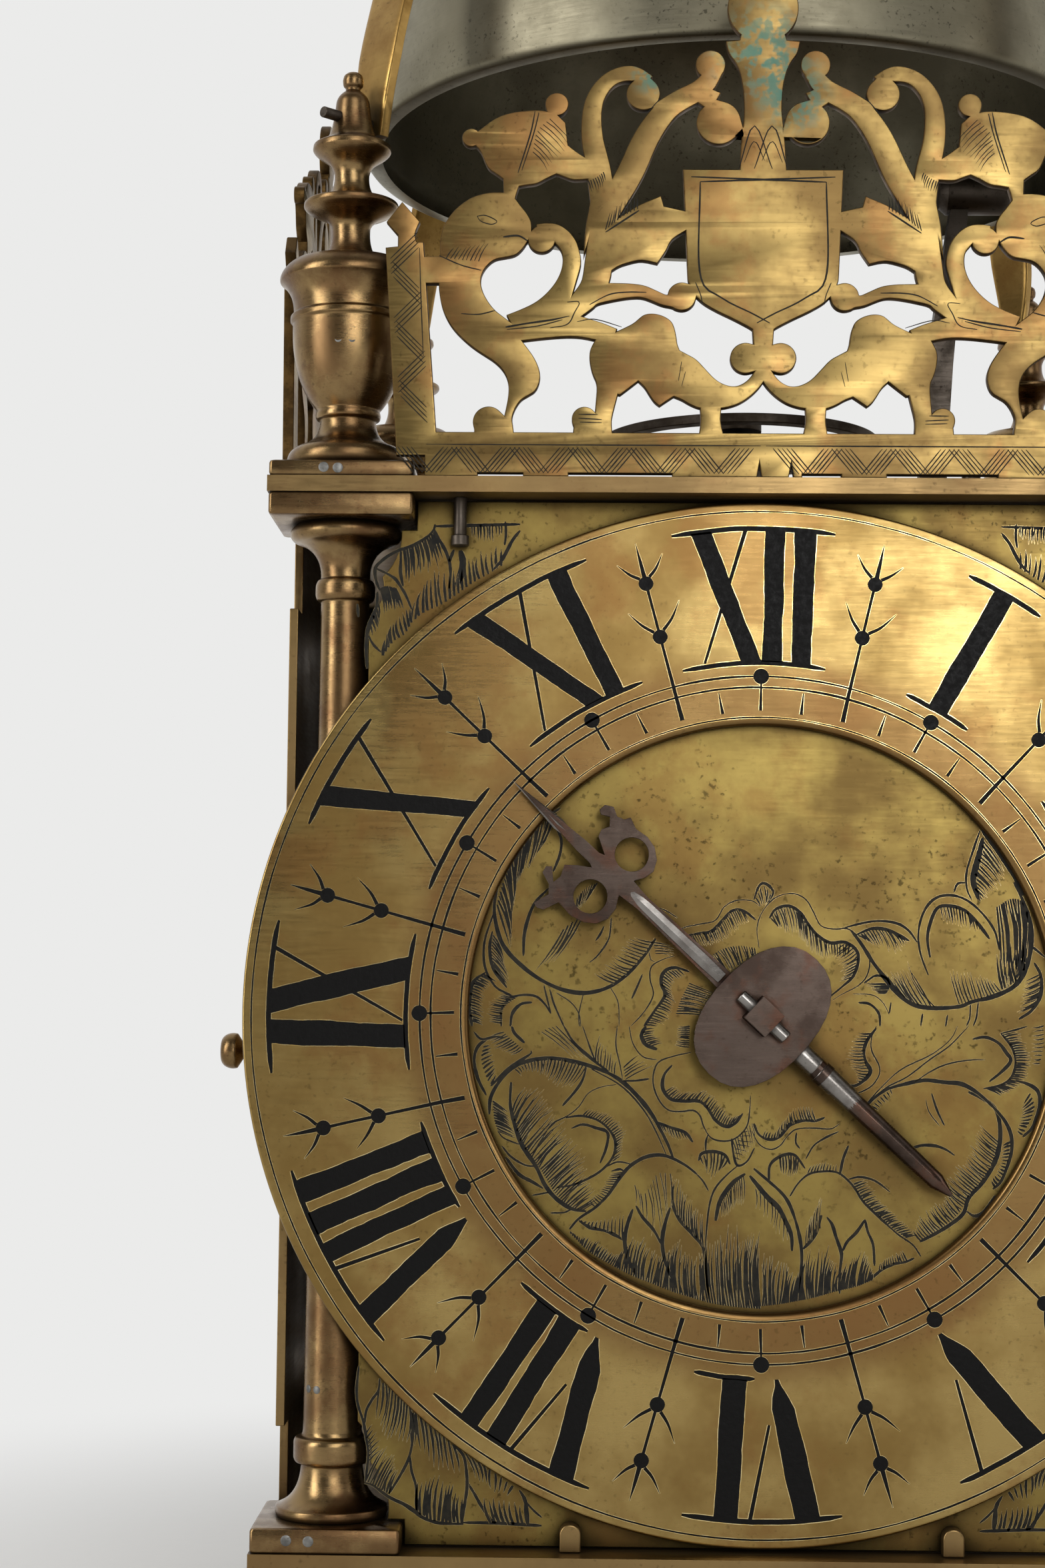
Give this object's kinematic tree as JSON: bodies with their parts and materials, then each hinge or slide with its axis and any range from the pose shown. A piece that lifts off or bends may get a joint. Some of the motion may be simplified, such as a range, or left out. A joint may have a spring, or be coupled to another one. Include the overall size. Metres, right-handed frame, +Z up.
{
  "type": "lantern clock",
  "caption": "Four-pillar brass chamber clock with a round hour dial, one hand, pierced frets over the case, side doors, a strapped bell and a weight-driven going and striking movement inside.",
  "frame": {"origin": "on the floor under the middle of the whole clock's footprint, wall spurs and hanging hoop included", "axes": "+Z up from the feet to the finial over the bell, the dial faces -Y, +X to the right as one faces the dial"},
  "size_m": [0.1702, 0.1772, 0.3697],
  "materials": {
    "brass": "worn satin",
    "turned_brass": "dark patina",
    "bell_bronze": "dark aged",
    "wrought_iron": "rough",
    "steel": "browned"
  },
  "bodies": {
    "case": {"bottom_plate": "brass", "top_plate": "brass", "front_left_foot": "turned_brass", "front_right_foot": "turned_brass", "back_left_foot": "turned_brass", "back_right_foot": "turned_brass", "front_left_pillar": "turned_brass", "front_right_pillar": "turned_brass", "back_left_pillar": "turned_brass", "back_right_pillar": "turned_brass", "front_left_finial": "turned_brass", "front_right_finial": "turned_brass", "back_left_finial": "turned_brass", "back_right_finial": "turned_brass", "dial_plate": "brass", "chapter_ring": "brass", "dial_lugs": "brass", "dial_catches": "wrought_iron", "front_fret": "brass", "left_fret": "brass", "right_fret": "brass", "back_plate": "brass", "wall_spurs": "wrought_iron", "hanging_hoop": "wrought_iron", "bell": "bell_bronze", "bell_strap": "brass", "strap_pins": "wrought_iron", "bell_crown": "turned_brass", "bell_nut": "wrought_iron", "front_bar": "brass", "centre_bar": "brass", "back_bar": "brass", "bar_wedges": "wrought_iron", "verge_potence": "brass", "balance_cock": "brass", "hammer_mounts": "wrought_iron"},
    "left_door": {"left_door": "brass", "left_door_knob": "brass"},
    "right_door": {"right_door": "brass", "right_door_knob": "brass"},
    "hand": {"hour_hand": "steel", "hour_arbor": "steel", "hand_pin": "steel"},
    "hour_wheel": {"hour_wheel": "brass"},
    "going_great": {"going_great_wheel": "brass", "going_arbor": "steel"},
    "going_pulley": {"going_pulley": "brass"},
    "second": {"second_wheel": "brass"},
    "crown": {"crown_wheel": "brass"},
    "verge": {"verge_staff": "steel", "balance_wheel": "turned_brass"},
    "strike_great": {"strike_great_wheel": "brass", "strike_arbor": "steel"},
    "strike_pulley": {"strike_pulley": "brass"},
    "hoop": {"hoop_wheel": "brass"},
    "warning": {"warning_wheel": "brass"},
    "fly": {"fly": "brass"},
    "count": {"count_wheel": "brass"},
    "hammer": {"hammer": "wrought_iron"},
    "detent": {"detent_arbor": "steel"}
  },
  "joints": [
    {"name": "left_door_hinge", "type": "hinge", "parent": "case", "child": "left_door", "pos_m": [-0.0737, 0.0421, 0.1125], "axis": [0, 0, 1], "range_deg": [-110, 0]},
    {"name": "right_door_hinge", "type": "hinge", "parent": "case", "child": "right_door", "pos_m": [0.0737, 0.0421, 0.1125], "axis": [0, 0, 1], "range_deg": [0, 110]},
    {"name": "second_wheel_spin", "type": "hinge", "parent": "case", "child": "second", "pos_m": [0, -0.0474, 0.10527], "axis": [0, 1, 0], "continuous": true},
    {"name": "going_great_spin", "type": "hinge", "parent": "case", "child": "going_great", "pos_m": [0, -0.0394, 0.0785], "axis": [0, 1, 0], "continuous": true},
    {"name": "going_pulley_spin", "type": "hinge", "parent": "going_great", "child": "going_pulley", "pos_m": [0, -0.0294, 0.0785], "axis": [0, 1, 0], "continuous": true},
    {"name": "crown_wheel_spin", "type": "hinge", "parent": "case", "child": "crown", "pos_m": [0, -0.0354, 0.13078], "axis": [0, 1, 0], "continuous": true},
    {"name": "hour_wheel_spin", "type": "hinge", "parent": "case", "child": "hour_wheel", "pos_m": [0, -0.0684, 0.1125], "axis": [0, 1, 0], "continuous": true},
    {"name": "hand_set", "type": "hinge", "parent": "hour_wheel", "child": "hand", "pos_m": [0, -0.0824, 0.1125], "axis": [0, 1, 0], "continuous": true},
    {"name": "balance_swing", "type": "hinge", "parent": "case", "child": "verge", "pos_m": [0, -0.0246, 0.2115], "axis": [0, 0, 1], "range_deg": [-35, 35]},
    {"name": "warning_wheel_spin", "type": "hinge", "parent": "case", "child": "warning", "pos_m": [0, 0.0106, 0.13078], "axis": [0, 1, 0], "continuous": true},
    {"name": "strike_great_spin", "type": "hinge", "parent": "case", "child": "strike_great", "pos_m": [0, 0.0186, 0.0785], "axis": [0, 1, 0], "continuous": true},
    {"name": "strike_pulley_spin", "type": "hinge", "parent": "strike_great", "child": "strike_pulley", "pos_m": [0, 0.0106, 0.0785], "axis": [0, 1, 0], "continuous": true},
    {"name": "hoop_wheel_spin", "type": "hinge", "parent": "case", "child": "hoop", "pos_m": [0, 0.0266, 0.10527], "axis": [0, 1, 0], "continuous": true},
    {"name": "fly_spin", "type": "hinge", "parent": "case", "child": "fly", "pos_m": [0, 0.0266, 0.15373], "axis": [0, 1, 0], "continuous": true},
    {"name": "count_wheel_spin", "type": "hinge", "parent": "case", "child": "count", "pos_m": [0, 0.0486, 0.1125], "axis": [0, 1, 0], "continuous": true},
    {"name": "hammer_swing", "type": "hinge", "parent": "case", "child": "hammer", "pos_m": [0.038, 0.0166, 0.096], "axis": [0, 1, 0], "range_deg": [-7, 0.8], "stiffness_Nm_per_rad": 1},
    {"name": "detent_lift", "type": "hinge", "parent": "case", "child": "detent", "pos_m": [-0.033, -0.0094, 0.142], "axis": [0, 1, 0], "range_deg": [-8, 0]}
  ],
  "couplings": [
    {"joint": "going_great_spin", "follows": "second_wheel_spin", "ratio": -0.125},
    {"joint": "crown_wheel_spin", "follows": "second_wheel_spin", "ratio": -9},
    {"joint": "hour_wheel_spin", "follows": "second_wheel_spin", "ratio": 0.015625},
    {"joint": "hoop_wheel_spin", "follows": "warning_wheel_spin", "ratio": -0.11111},
    {"joint": "strike_great_spin", "follows": "warning_wheel_spin", "ratio": 0.013889},
    {"joint": "count_wheel_spin", "follows": "warning_wheel_spin", "ratio": -0.0017361},
    {"joint": "fly_spin", "follows": "warning_wheel_spin", "ratio": -8}
  ]
}
